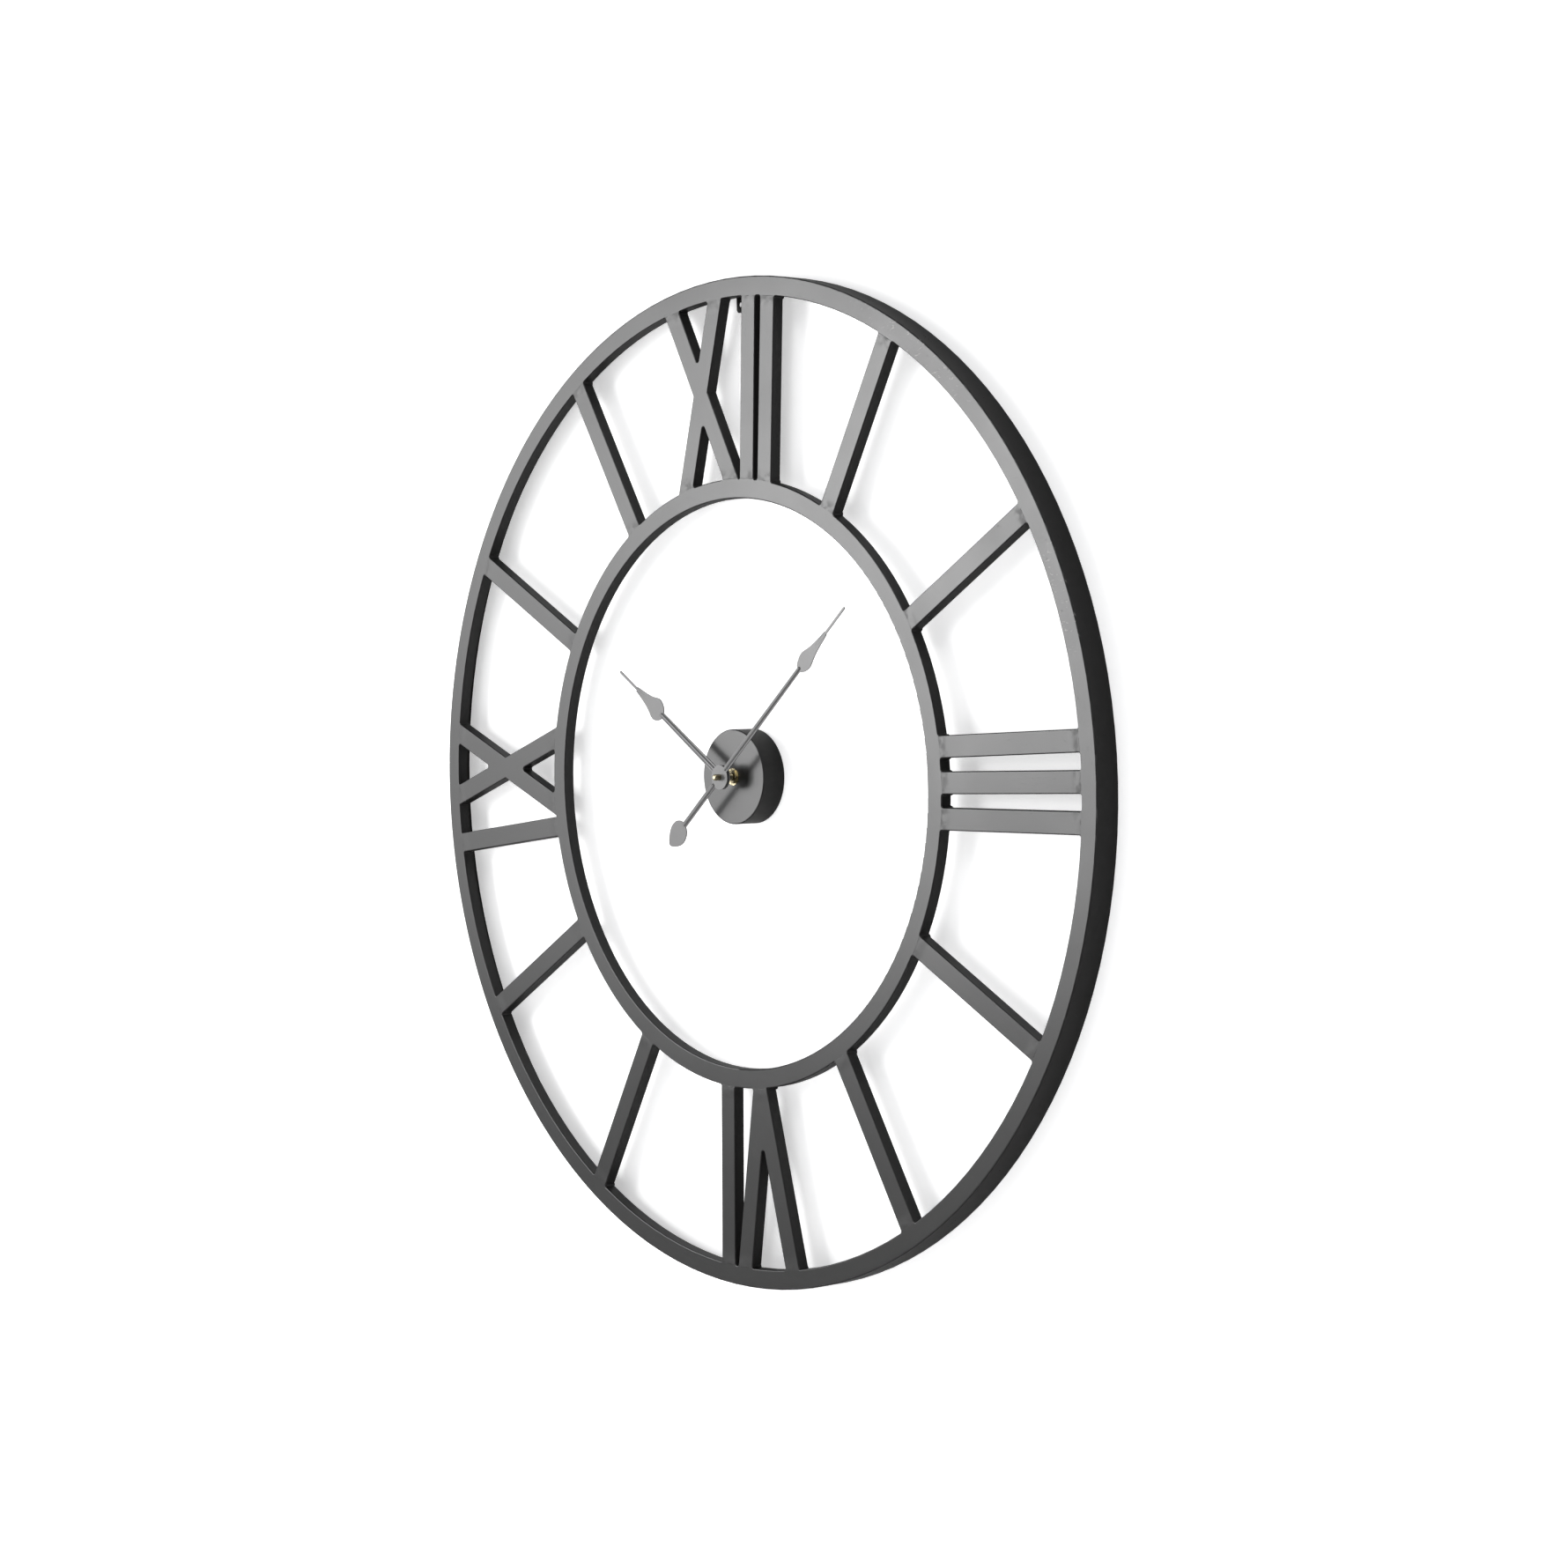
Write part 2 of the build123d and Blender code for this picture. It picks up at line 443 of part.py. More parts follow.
# ---------------------------------------------------------------- wheels
def train():
    """The wheels between the stepping rotor and the centre wheel."""
    centre = wheel(CENTRE, CENTRE_TEETH, THIRD, *CENTRE_LAYER) + disc(CENTRE_HUB_RADIUS, *CENTRE_HUB)
    centre = spokes(centre, CENTRE, 8.6, CENTRE_HUB_RADIUS, *CENTRE_LAYER)
    write("centre_wheel", centre - disc(REAR_ARBOR_RADIUS, *CENTRE_HUB))
    third = arbor(THIRD, ROTOR_ARBOR_RADIUS) + wheel(THIRD, THIRD_TEETH, FOURTH, *THIRD_LAYER)
    third = spokes(third, THIRD, 8.0, 1.4, *THIRD_LAYER)
    write("third_wheel", third + pinion(THIRD, CENTRE, *THIRD_PINION))
    fourth = arbor(FOURTH) + wheel(FOURTH, FOURTH_TEETH, FIFTH, *FOURTH_LAYER)
    fourth = spokes(fourth, FOURTH, 6.4, 1.3, *FOURTH_LAYER)
    write("fourth_wheel", fourth + pinion(FOURTH, THIRD, *FOURTH_PINION))
    fifth = arbor(FIFTH) + wheel(FIFTH, FIFTH_TEETH, ROTOR, *FIFTH_LAYER)
    write("fifth_wheel", fifth + pinion(FIFTH, FOURTH, *FIFTH_PINION))
    rotor = arbor(ROTOR, ROTOR_ARBOR_RADIUS) + disc(1.6, *ROTOR_COLLAR, ROTOR)
    write("rotor_pinion", rotor + pinion(ROTOR, FIFTH, *ROTOR_PINION))
    write("rotor_magnet", ring(MAGNET_RADIUS, ROTOR_ARBOR_RADIUS, *MAGNET_LAYER, ROTOR))


def motion_work():
    """The wheels that turn the hour hand at a twelfth of the minute hand's speed."""
    shaft_top = MINUTE_HAND_BACK + HAND_THICKNESS + SHAFT_IN_CAP
    shaft = arbor(CENTRE, REAR_ARBOR_RADIUS, top=CANNON_LAYER[0])
    shaft += disc(MINUTE_SHAFT_RADIUS, CANNON_LAYER[0], shaft_top)
    shaft += pinion(CENTRE, MOTION, *CANNON_LAYER, CANNON_TEETH, MOTION_MODULE)
    write("minute_arbor", shaft)

    knob_root = KNOB_BACK + 0.4
    intermediate = disc(REAR_ARBOR_RADIUS, knob_root, LID_BACK - END_SHAKE, MOTION)
    intermediate += disc(PIVOT_RADIUS, LID_BACK - 1, LID_BACK + PIVOT_LENGTH - END_SHAKE, MOTION)
    intermediate += wheel(MOTION, MOTION_TEETH, CENTRE, *MOTION_LAYER, MOTION_MODULE, 0.7)
    intermediate += pinion(MOTION, CENTRE, *MOTION_PINION_LAYER, MOTION_PINION_TEETH, HOUR_MODULE)
    write("motion_wheel", intermediate)
    knob = disc(KNOB_RADIUS, KNOB_BACK, KNOB_FRONT, MOTION)
    for notch in range(KNOB_NOTCHES):
        spot = beside(MOTION, KNOB_RADIUS + 0.1, 360 / KNOB_NOTCHES * notch)
        knob -= disc(NOTCH_RADIUS, KNOB_BACK, KNOB_FRONT, spot)
    knob = chamfer(knob.edges().group_by(Axis.Z)[0], 0.3)
    write("setting_knob", knob - disc(REAR_ARBOR_RADIUS, knob_root, KNOB_FRONT, MOTION))

    tube_top = HOUR_HAND_BACK + HAND_THICKNESS + TUBE_PROUD
    hour = wheel(CENTRE, HOUR_TEETH, MOTION, *HOUR_LAYER, HOUR_MODULE, 0.6)
    hour += disc(HOUR_TUBE_RADIUS, HOUR_LAYER[0], tube_top)
    write("hour_wheel", hour - disc(MINUTE_SHAFT_RADIUS + RUNNING_FIT, HOUR_LAYER[0], tube_top))


# ---------------------------------------------------------------- hands
def blade(base, widest, shoulder_width, needle, needle_width, tip):
    """One side of a spade blade as a smooth line from the stem to the tip."""
    half, neck = shoulder_width / 2, needle_width / 2
    return [(half * 0.62, base + (widest - base) * 0.22), (half, widest),
            (half * 0.62, widest + (needle - widest) * 0.36), (neck * 1.15, needle), (neck * 0.8, tip)]


def hand_outline(stem_width, stem_end, side):
    """A hand that points up: a stem, then the blade's right side and its mirror image."""
    half = stem_width / 2
    start = (half, stem_end)
    right = Spline(start, *side, tangents=((1, 0.25), (0, 1)))
    end = side[-1]
    tip = ThreePointArc(end, (0, end[1] + end[0] * 0.6), (-end[0], end[1]))
    edge = right + tip + mirror(right, about=Plane.YZ)
    close = Line((-start[0], start[1]), start)
    return make_face(edge + close)


def rib(stem, start, end):
    """A rounded ridge along a stem, up from the hand's face, that fades out at its ends."""
    half = stem * RIB_SHARE / 2
    radius = (half * half + RIB_HEIGHT * RIB_HEIGHT) / (2 * RIB_HEIGHT)
    rod = Rot(90, 0, 0) * Cylinder(radius, end - start)
    rod = fillet(rod.edges().filter_by(GeomType.CIRCLE), radius * 0.9)
    rod = Pos(0, (start + end) / 2, HAND_THICKNESS + RIB_HEIGHT - radius) * rod
    above = block(-radius, radius, start, end, HAND_THICKNESS / 2, HAND_THICKNESS + RIB_HEIGHT)
    return rod & above


def hour_hand():
    base, tip, neck = 119.5, 208.0, 3.25
    stem = HOUR_STEM / 2
    face = hand_outline(2 * neck, base, blade(base, 131.5, 25.0, 172.0, 3.4, tip))
    stem_face = make_face(Polyline((-stem, 0), (stem, 0), (neck, base + 2), (-neck, base + 2), close=True))
    sheet = face + stem_face + Circle(HAND_HUB_RADIUS) - Circle(HOUR_TUBE_RADIUS)
    hand = extrude(sheet, HAND_THICKNESS) + rib(2 * neck, HAND_HUB_RADIUS - 2, base + 4)
    return Rot(0, 0, -HOUR_CLOCK_ANGLE) * (Pos(0, 0, HOUR_HAND_BACK) * hand)


def minute_hand():
    base, tip, neck = 172.5, 267.0, 2.7
    stem = MINUTE_STEM / 2
    face = hand_outline(2 * neck, base, blade(base, 186.0, 19.6, 228.0, 3.2, tip))
    stem_face = make_face(Polyline((-stem, 0), (stem, 0), (neck, base + 2), (-neck, base + 2), close=True))
    top, wide, end, half = -80.0, -93.5, -114.0, 13.2
    corner = (2.0, end + 0.4)
    right = Spline((stem, top), (half * 0.75, top - 4.2), (half, wide), (half * 0.78, wide - 10.5), corner)
    tail_tip = ThreePointArc(corner, (0, end), (-corner[0], corner[1]))
    paddle = make_face(right + tail_tip + mirror(right, about=Plane.YZ) + Line((-stem, top), (stem, top)))
    tail_stem = Pos(0, top / 2) * Rectangle(MINUTE_STEM, 2 - top)
    sheet = face + stem_face + paddle + tail_stem + Circle(HAND_HUB_RADIUS) - Circle(MINUTE_SHAFT_RADIUS)
    hand = extrude(sheet, HAND_THICKNESS) + rib(2 * neck, HAND_HUB_RADIUS - 2, base + 4)
    hand += rib(MINUTE_STEM, top - 2, 2 - HAND_HUB_RADIUS)
    return Rot(0, 0, -MINUTE_CLOCK_ANGLE) * (Pos(0, 0, MINUTE_HAND_BACK) * hand)


def hands():
    write("hour_hand", hour_hand())
    write("hour_hand_collet", ring(4.6, HOUR_TUBE_RADIUS, HOUR_HAND_BACK - 3.2, HOUR_HAND_BACK))
    write("minute_hand", minute_hand())
    write("minute_hand_collet", ring(3.4, MINUTE_SHAFT_RADIUS, MINUTE_HAND_BACK - 1.0, MINUTE_HAND_BACK))
    cap_bottom = MINUTE_HAND_BACK + HAND_THICKNESS
    cap = disc(CAP_RADIUS, cap_bottom, CLOCK_DEPTH)
    cap = fillet(cap.edges().group_by(Axis.Z)[-1], CAP_RADIUS * 0.6)
    write("cap_nut", cap - disc(MINUTE_SHAFT_RADIUS, cap_bottom, cap_bottom + SHAFT_IN_CAP))


ring_frame()
ring_hanger()
drum()
movement_case()
bushing_stack()
electronics()
battery()
train()
motion_work()
hands()
print(len(written), "pieces")
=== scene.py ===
# %% [markdown]
# # A large skeleton wall clock
# The clock is a welded ring frame painted satin black, with open bars for numerals. A round
# drum in the middle holds a quartz movement, and two sheet-metal hands stand out in front on a
# brass bushing. The engineered solids come in as a fixed frame, one object for each real piece.
# Here they get their finishes, and the few things that a flat solid can't show: the weld beads
# behind the bars, the wire on the coil and the spring that presses on the battery.

# %% Load the frame
from math import atan2, cos, hypot, pi, radians, sin
import bpy
from mathutils import Matrix, Vector


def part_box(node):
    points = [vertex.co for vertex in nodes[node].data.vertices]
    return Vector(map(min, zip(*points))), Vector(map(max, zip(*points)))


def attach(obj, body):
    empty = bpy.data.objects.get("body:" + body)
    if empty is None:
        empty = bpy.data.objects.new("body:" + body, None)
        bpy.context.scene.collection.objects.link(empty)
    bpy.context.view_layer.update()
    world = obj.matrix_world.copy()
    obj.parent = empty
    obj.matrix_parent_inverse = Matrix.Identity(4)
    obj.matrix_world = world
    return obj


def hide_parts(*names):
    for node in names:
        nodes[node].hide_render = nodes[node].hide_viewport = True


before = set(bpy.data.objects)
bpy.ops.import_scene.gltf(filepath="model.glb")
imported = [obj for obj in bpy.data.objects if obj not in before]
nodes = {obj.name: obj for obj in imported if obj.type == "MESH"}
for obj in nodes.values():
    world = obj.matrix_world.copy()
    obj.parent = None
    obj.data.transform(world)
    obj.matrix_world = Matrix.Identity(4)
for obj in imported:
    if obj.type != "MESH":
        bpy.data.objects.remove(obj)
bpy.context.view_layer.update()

MM = 0.001

# %% [markdown]
# The main sizes are read back from the frame instead of being typed again, all but the width
# of the ring tubes. Each round piece's box gives its outer radius, and the bars reach from one
# ring to the other. The face of the clock looks along -Y, so a distance from the middle is
# measured in X and Z. The drum and the hands sit a little higher than the rings' own middle.

# %% Sizes from the frame
RING_WIDTH = 20.4 * MM
RIM_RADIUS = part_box("outer_hoop")[1][0]
OUTER_JOINT = RIM_RADIUS - RING_WIDTH
INNER_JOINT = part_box("inner_ring_tube")[1][0]
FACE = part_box("outer_ring_tube")[0][1]
TUBE_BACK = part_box("outer_ring_tube")[1][1]
HAND_AXIS = (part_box("drum_can")[0][2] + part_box("drum_can")[1][2]) / 2
BARS = sorted(name for name in nodes if name.endswith("_bar") or name.endswith("_arm"))
print("joints at", round(OUTER_JOINT, 4), round(INNER_JOINT, 4), "face", round(FACE, 4), "bars", len(BARS))

# %% [markdown]
# ## Shader helpers
# Wiring Math nodes by hand makes long, unreadable scripts. So `Value` stands for one socket,
# and each operator adds the Math node that works it out: `1 - mask` is then a Subtract node.


# %% A socket that can be used in sums
class Value:
    """One output socket, with arithmetic."""

    def __init__(self, finish, socket):
        self.finish = finish
        self.socket = socket

    def __add__(self, other):
        return self.finish.maths("ADD", self, other)

    def __sub__(self, other):
        return self.finish.maths("SUBTRACT", self, other)

    def __rsub__(self, other):
        return self.finish.maths("SUBTRACT", other, self)

    def __mul__(self, other):
        return self.finish.maths("MULTIPLY", self, other)

    def __abs__(self):
        return self.finish.maths("ABSOLUTE", self)

    __radd__ = __add__
    __rmul__ = __mul__


print("reflected operators", [name.strip("_") for name in vars(Value) if name.startswith("__r")])

# %% [markdown]
# `Finish` is one material. Its `node` method makes any node, with its settings first and then
# its sockets, and the other methods are the few patterns that every finish here is built from:
# a noise, a smooth step that cuts a mask out of it, a mix of two colours and a bump. What is
# the same all over a surface is set on the shader itself, and only what varies is linked.


# %% A material and its patterns
class Finish:
    """One material, with the Principled shader's constants set when it is made."""

    def __init__(self, name, **constants):
        self.material = bpy.data.materials.new(name)
        self.material.use_nodes = True
        self.tree = self.material.node_tree
        self.shader = self.tree.nodes["Principled BSDF"]
        for socket, value in constants.items():
            self.shader.inputs[socket.replace("_", " ")].default_value = value
        self.place = self.node("TexCoord", output="Object")

    def node(self, kind, settings=(), sockets=(), output=0):
        made = self.tree.nodes.new("ShaderNode" + kind)
        for name, value in dict(settings).items():
            if name == "stops":
                ramp = made.color_ramp.elements
                while len(ramp) < len(value):
                    ramp.new(1.0)
                for element, (position, colour) in zip(ramp, value):
                    element.position, element.color = position, colour
            else:
                setattr(made, name, value)
        for name, value in dict(sockets).items():
            self.link(value, made.inputs[name])
        return Value(self, made.outputs[output])

    def link(self, value, socket):
        if isinstance(value, Value):
            self.tree.links.new(value.socket, socket)
        else:
            socket.default_value = value

    def feed(self, **sockets):
        for name, value in sockets.items():
            self.link(value, self.shader.inputs[name.replace("_", " ")])

    def maths(self, operation, *values):
        return self.node("Math", {"operation": operation}, dict(enumerate(values)))

    def noise(self, size, detail=3.0, roughness=0.5, stretch=(1, 1, 1)):
        """Noise between 0 and 1 whose grains are about one size across, in metres."""
        place = self.node("Mapping", {}, {"Vector": self.place, "Scale": stretch})
        sockets = {"Vector": place, "Scale": 1 / size, "Detail": detail, "Roughness": roughness}
        return self.node("TexNoise", {}, sockets)

    def step(self, value, low, high, bottom=0.0, top=1.0):
        """A smooth step: bottom below low, top above high."""
        sockets = {"Value": value, "From Min": low, "From Max": high, "To Min": bottom, "To Max": top}
        return self.node("MapRange", {"interpolation_type": "SMOOTHSTEP"}, sockets)

    def mix(self, share, low, high):
        """A colour between two colours."""
        return self.node("Mix", {"data_type": "RGBA"}, {0: share, 6: low, 7: high}, 2)

    def bump(self, height, distance, strength=1.0, under=None):
        sockets = {"Height": height, "Distance": distance, "Strength": strength}
        if under is not None:
            sockets["Normal"] = under
        return self.node("Bump", {}, sockets)

    def coordinate(self, axis):
        return self.node("SeparateXYZ", {}, {0: self.place}, axis)

    def reach(self, centre=(0, 0)):      # the default is the middle of the rings
        """Distance from a line straight through the face at a place (x, z)."""
        across = self.coordinate("X") - centre[0]
        up = self.coordinate("Z") - centre[1]
        return self.maths("SQRT", across * across + up * up)


def rgb(red, green, blue):
    return (red, green, blue, 1.0)


def tint(colour, share):
    """A colour made darker or lighter."""
    return rgb(*[share * part for part in colour])


print("patterns", [name for name in vars(Finish) if not name.startswith("_")])

# %% [markdown]
# ## Paint
# The frame is sprayed with a satin black lacquer. Up close it has the faint orange peel of a
# sprayed coat, a few dust nibs, and slow changes of gloss where more or less paint lies. The
# bars are welded to the rings and ground flush before painting: what is left to see is a dull
# smudge at each end, a broken hairline where the joint runs, and a slight dip. They could be
# painted on each bar by hand, but a mask by distance from the joint puts them on every bar at
# once, and the noise keeps any two from looking alike.

# %% Marks where a bar was welded
SMUDGE_REACH, SMUDGE_GRAIN = 15 * MM, 9 * MM
SEAM_HALF, SEAM_GRAIN, SEAM_DEPTH = 0.45 * MM, 6 * MM, 0.12 * MM
SEAM_BLACK = rgb(0.006, 0.006, 0.006)
DIP_GRAIN, DIP_DEPTH = 14 * MM, 0.35 * MM


def ground_joints(paint, colour, shade, dull, normal):
    """Smudge, broken hairline and dip where a bar is welded to either ring."""
    radius = paint.reach()
    away = paint.maths("MINIMUM", abs(radius - OUTER_JOINT), abs(radius - INNER_JOINT))
    ground = paint.step(away, 0.2 * SMUDGE_REACH, SMUDGE_REACH, 1.0, 0.0)
    smudge = ground * paint.step(paint.noise(SMUDGE_GRAIN, 4.0), 0.40, 0.62)
    shade = paint.mix(smudge * 0.55, shade, tint(colour, 1.7))
    seam = paint.step(away, 0.3 * SEAM_HALF, SEAM_HALF, 1.0, 0.0)
    broken = seam * paint.step(paint.noise(SEAM_GRAIN, 2.0), 0.48, 0.56)
    shade = paint.mix(broken * 0.5, shade, SEAM_BLACK)
    normal = paint.bump(paint.noise(DIP_GRAIN, 2.0) * ground, DIP_DEPTH, 1.0, normal)
    normal = paint.bump(1 - broken, SEAM_DEPTH, 1.0, normal)
    return shade, dull + smudge * 0.13, normal


print("smudges reach", round(SMUDGE_REACH / MM, 1), "mm from a joint")

# %% [markdown]
# The outer ring was rubbed in two places in handling. The scuffs are pale streaks in patches,
# on the face only, so the mask is a product: near the place, on the front, streaky and patchy.

# %% Rubbed places
SCUFFS = (((0.30, 0.43), 0.12), ((0.50, 0.18), 0.07))      # middle (x, z) and reach of each
SCUFF_STREAK, SCUFF_PATCH, SCUFF_GREY = 4 * MM, 16 * MM, rgb(0.30, 0.29, 0.28)


def rubbed_places(paint, shade, dull):
    """Pale streaky scuffs on the face only, in the places where hands have held it."""
    streaks = paint.step(paint.noise(SCUFF_STREAK, 5.0, 0.62, (0.5, 1.0, 1.0)), 0.55, 0.66)
    patches = paint.step(paint.noise(SCUFF_PATCH, 2.0), 0.46, 0.58)
    front = paint.step(paint.coordinate("Y"), FACE + 0.5 * MM, FACE + 2 * MM, 1.0, 0.0)
    for middle, reach in SCUFFS:
        near = paint.step(paint.reach(middle), 0.4 * reach, reach, 1.0, 0.0)
        rubbed = front * near * streaks * patches
        dull = dull + rubbed * 0.10
        shade = paint.mix(rubbed * 0.7, shade, SCUFF_GREY)
    return shade, dull


print("rubbed places", len(SCUFFS))

# %% [markdown]
# One function makes every painted finish, because the rings, the bars, the drum and the hands
# differ only in their colour, their gloss and which of these marks they carry. The hands are a
# lighter gunmetal than the frame.

# %% Painted metal
PEEL, NIB, CLOUD = 1.6 * MM, 2.5 * MM, 70 * MM
PEEL_DEPTH, NIB_HEIGHT = 0.02 * MM, 0.03 * MM


def painted(name, colour, roughness, welds=False, scuffs=False):
    paint = Finish(name, IOR=1.5)
    cloud = paint.noise(CLOUD, 4.0)
    nibs = paint.step(paint.noise(NIB, 1.0), 0.74, 0.80)
    dull = roughness + (cloud - 0.5) * 0.10 + nibs * 0.12
    shade = paint.mix(cloud, tint(colour, 0.86), tint(colour, 1.14))
    shade = paint.mix(nibs * 0.5, shade, tint(colour, 1.9))
    normal = paint.bump(paint.noise(PEEL, 2.0), PEEL_DEPTH)
    normal = paint.bump(nibs, NIB_HEIGHT, 1.0, normal)
    if welds:
        shade, dull, normal = ground_joints(paint, colour, shade, dull, normal)
    if scuffs:
        shade, dull = rubbed_places(paint, shade, dull)
    paint.feed(Base_Color=shade, Roughness=dull, Normal=normal)
    return paint.material


BLACK, GUNMETAL = (0.012, 0.0118, 0.0115), (0.090, 0.089, 0.089)
bar_paint = painted("bar_paint", BLACK, 0.31, welds=True)
ring_paint = painted("ring_paint", BLACK, 0.31, scuffs=True)
drum_paint = painted("drum_paint", BLACK, 0.29)
hand_paint = painted("hand_paint", GUNMETAL, 0.34)
print("painted finishes", bar_paint.name, ring_paint.name, drum_paint.name, hand_paint.name)

# %% [markdown]
# ## Metals, plastics and the electric parts
# Brass is turned from bar, so its faces carry fine rings about the hand axis, and it goes
# brown in the grooves where nobody rubs it. Steel pins and plates are rolled or turned too,
# but stay bright. Both are metals, so their colour lies in the reflection.

# %% Turned and rolled metal
TURNING_PITCH, TURNING_DEPTH = 0.22 * MM, 0.004 * MM
TARNISH_PATCH, ROLLED_GRAIN, GRAIN_DEPTH = 3.5 * MM, 0.6 * MM, 0.01 * MM


def bare_metal(name, bright, dark, roughness, tarnish):
    metal = Finish(name, Metallic=1.0)
    patches = metal.step(metal.noise(TARNISH_PATCH, 5.0, 0.6), 0.42, 0.68)
    rings = metal.maths("SINE", metal.reach((0, HAND_AXIS)) * (2 * pi / TURNING_PITCH))
    grain = metal.noise(ROLLED_GRAIN, 4.0, 0.6, (1, 0.12, 1))
    shade = metal.mix(patches * tarnish, rgb(*bright), rgb(*dark))
    dull = roughness + patches * 0.16 + (grain - 0.5) * 0.12
    normal = metal.bump(rings, TURNING_DEPTH)
    normal = metal.bump(grain, GRAIN_DEPTH, 1.0, normal)
    metal.feed(Base_Color=shade, Roughness=dull, Normal=normal)
    return metal.material


brass = bare_metal("turned_brass", (0.50, 0.44, 0.29), (0.13, 0.11, 0.07), 0.22, 0.85)
steel = bare_metal("bare_steel", (0.60, 0.60, 0.61), (0.36, 0.35, 0.34), 0.26, 0.5)
magnet = bare_metal("sintered_magnet", (0.20, 0.20, 0.21), (0.11, 0.11, 0.11), 0.42, 0.8)
weld_metal = painted("painted_weld", BLACK, 0.40)      # the beads behind, painted over
print("metals", brass.name, steel.name, magnet.name, weld_metal.name)

# %% [markdown]
# The movement's case is moulded in black plastic with a fine spark-eroded texture, and its
# wheels in natural acetal, which is waxy and lets a little light in. The washer under the drum
# is rubber: dull, with a dusty bloom.

# %% Plastics and rubber
MOULD_CLOUD, DUST, DUST_COLOUR = 11 * MM, 1.1 * MM, rgb(0.5, 0.48, 0.45)


def moulded(name, colour, roughness, grain, depth, glow=0.0):
    plastic = Finish(name, IOR=1.46, Subsurface_Weight=glow, Subsurface_Scale=0.4 * MM)
    texture = plastic.noise(grain, 3.0, 0.6)
    dust = plastic.step(plastic.noise(DUST, 2.0), 0.66, 0.74)
    shade = plastic.mix(plastic.noise(MOULD_CLOUD, 3.0), tint(colour, 0.88), tint(colour, 1.10))
    shade = plastic.mix(dust * 0.12, shade, DUST_COLOUR)
    dull = roughness + (texture - 0.5) * 0.18 + dust * 0.1
    plastic.feed(Base_Color=shade, Roughness=dull, Normal=plastic.bump(texture, depth))
    return plastic.material


case_plastic = moulded("case_plastic", (0.022, 0.022, 0.023), 0.52, 0.35 * MM, 0.02 * MM)
acetal = moulded("wheel_acetal", (0.80, 0.78, 0.70), 0.38, 0.5 * MM, 0.006 * MM, 0.25)
chip_resin = moulded("chip_resin", (0.012, 0.012, 0.013), 0.24, 0.9 * MM, 0.02 * MM)
rubber = moulded("washer_rubber", (0.020, 0.020, 0.020), 0.75, 0.25 * MM, 0.02 * MM)
print("plastics", case_plastic.name, acetal.name, chip_resin.name, rubber.name)

# %% [markdown]
# The circuit board is green lacquer over etched tracks. Real tracks run straight and turn
# square, so they are drawn by the edges of a cell pattern measured the Manhattan way. The coil
# is wound from enamelled copper wire, a metal under a clear coat.

# %% Board and wire
TRACK_CELL, TRACK_RELIEF, BOARD_WEAVE, WIRE_PATCH = 2.6 * MM, 0.03 * MM, 0.4 * MM, 1.5 * MM


def circuit_board():
    board = Finish("circuit_board_lacquer", IOR=1.5, Coat_Weight=0.35, Coat_Roughness=0.12)
    cells = board.node("TexVoronoi", {"feature": "DISTANCE_TO_EDGE", "distance": "MANHATTAN"},
                       {"Vector": board.place, "Scale": 1 / TRACK_CELL}, "Distance")
    track = board.step(cells, 0.05, 0.10, 1.0, 0.0)
    weave = board.noise(BOARD_WEAVE, 2.0)
    shade = board.mix(track, rgb(0.018, 0.105, 0.045), rgb(0.055, 0.235, 0.095))
    shade = board.mix(weave * 0.3, shade, rgb(0.01, 0.06, 0.03))
    board.feed(Base_Color=shade, Roughness=0.30 + weave * 0.12, Normal=board.bump(track, TRACK_RELIEF))
    return board.material


def enamelled_wire():
    wire = Finish("enamelled_wire", Metallic=1.0, Coat_Weight=0.6, Coat_Roughness=0.15)
    patches = wire.noise(WIRE_PATCH, 3.0)
    shade = wire.mix(patches, rgb(0.62, 0.25, 0.11), rgb(0.80, 0.40, 0.20))
    wire.feed(Base_Color=shade, Roughness=0.24 + patches * 0.12)
    return wire.material


board_lacquer, copper = circuit_board(), enamelled_wire()
print("board and wire", board_lacquer.name, copper.name)

# %% [markdown]
# The battery wears a plain printed sleeve with a coppery shoulder at its positive end, and its
# bare ends are nickel. The bands are steps along the cell's own axis, placed from its box.

# %% Battery sleeve
CELL_LEFT, CELL_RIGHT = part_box("battery_cell")[0][0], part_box("battery_cell")[1][0]
SLEEVE_LEFT, SLEEVE_RIGHT = CELL_LEFT + 0.9 * MM, CELL_RIGHT - 1.8 * MM
SHOULDER, LINE_MIDDLE, LINE_HALF = CELL_RIGHT - 14 * MM, CELL_RIGHT - 14.6 * MM, 0.25 * MM
SLEEVE_WRINKLE, WRINKLE_DEPTH = 2.2 * MM, 0.01 * MM
SLEEVE_BLACK, SLEEVE_COPPER, SLEEVE_LINE = rgb(0.022, 0.023, 0.028), rgb(0.60, 0.30, 0.12), rgb(0.7, 0.7, 0.7)
NICKEL = rgb(0.62, 0.61, 0.58)


